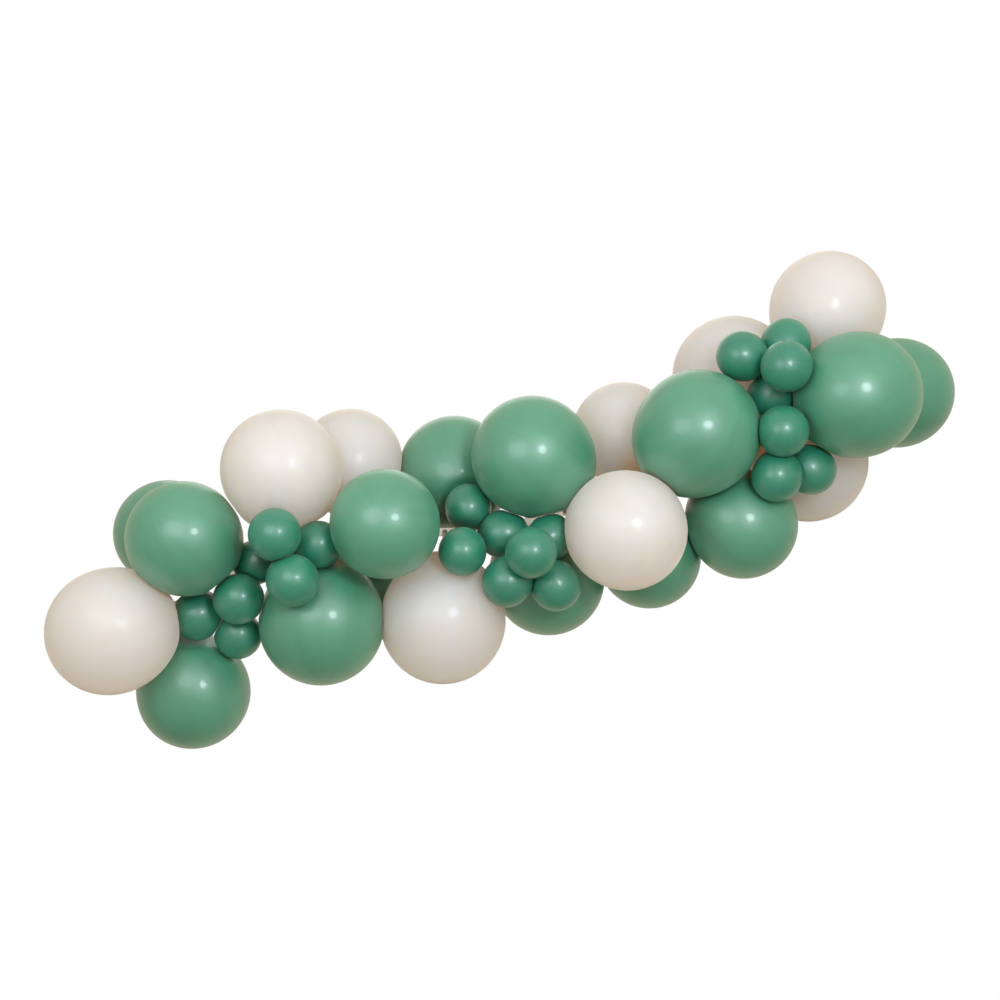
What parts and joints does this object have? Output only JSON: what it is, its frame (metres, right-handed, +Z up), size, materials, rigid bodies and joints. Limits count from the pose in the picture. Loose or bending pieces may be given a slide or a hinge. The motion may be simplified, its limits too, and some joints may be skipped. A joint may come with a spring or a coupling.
{
  "type": "balloon garland",
  "caption": "Organic garland of large and small round latex balloons tied to a clear perforated strip, hung on a wall by a flat tab at each end.",
  "frame": {"origin": "middle of the right-hand tab's back face, which lies flat on the wall", "axes": "+X along the wall to the right, +Y back into the wall, +Z up"},
  "size_m": [1.9806, 0.5565, 1.1022],
  "materials": {
    "cream_latex": "satin latex, slightly see-through, ivory",
    "green_latex": "satin latex, slightly see-through, sage green",
    "deep_green_latex": "satin latex, less stretched and so deeper green",
    "clear_strip": "clear flexible plastic strip with round holes"
  },
  "bodies": {
    "root": {"large_cream_01": "cream_latex", "large_cream_02": "cream_latex", "large_cream_03": "cream_latex", "large_cream_04": "cream_latex", "large_cream_05": "cream_latex", "large_cream_06": "cream_latex", "large_cream_07": "cream_latex", "large_cream_08": "cream_latex", "large_cream_09": "cream_latex", "large_green_01": "green_latex", "large_green_02": "green_latex", "large_green_03": "green_latex", "large_green_04": "green_latex", "large_green_05": "green_latex", "large_green_06": "green_latex", "large_green_07": "green_latex", "large_green_08": "green_latex", "large_green_09": "green_latex", "large_green_10": "green_latex", "large_green_11": "green_latex", "large_green_12": "green_latex", "large_green_13": "green_latex", "large_green_14": "green_latex", "small_green_01": "deep_green_latex", "small_green_02": "deep_green_latex", "small_green_03": "deep_green_latex", "small_green_04": "deep_green_latex", "small_green_05": "deep_green_latex", "small_green_06": "deep_green_latex", "small_green_07": "deep_green_latex", "small_green_08": "deep_green_latex", "small_green_09": "deep_green_latex", "small_green_10": "deep_green_latex", "small_green_11": "deep_green_latex", "small_green_12": "deep_green_latex", "small_green_13": "deep_green_latex", "small_green_14": "deep_green_latex", "small_green_15": "deep_green_latex", "small_green_16": "deep_green_latex", "small_green_17": "deep_green_latex", "small_green_18": "deep_green_latex", "small_green_19": "deep_green_latex", "small_green_20": "deep_green_latex", "small_green_21": "deep_green_latex", "strip": "clear_strip"}
  },
  "joints": []
}
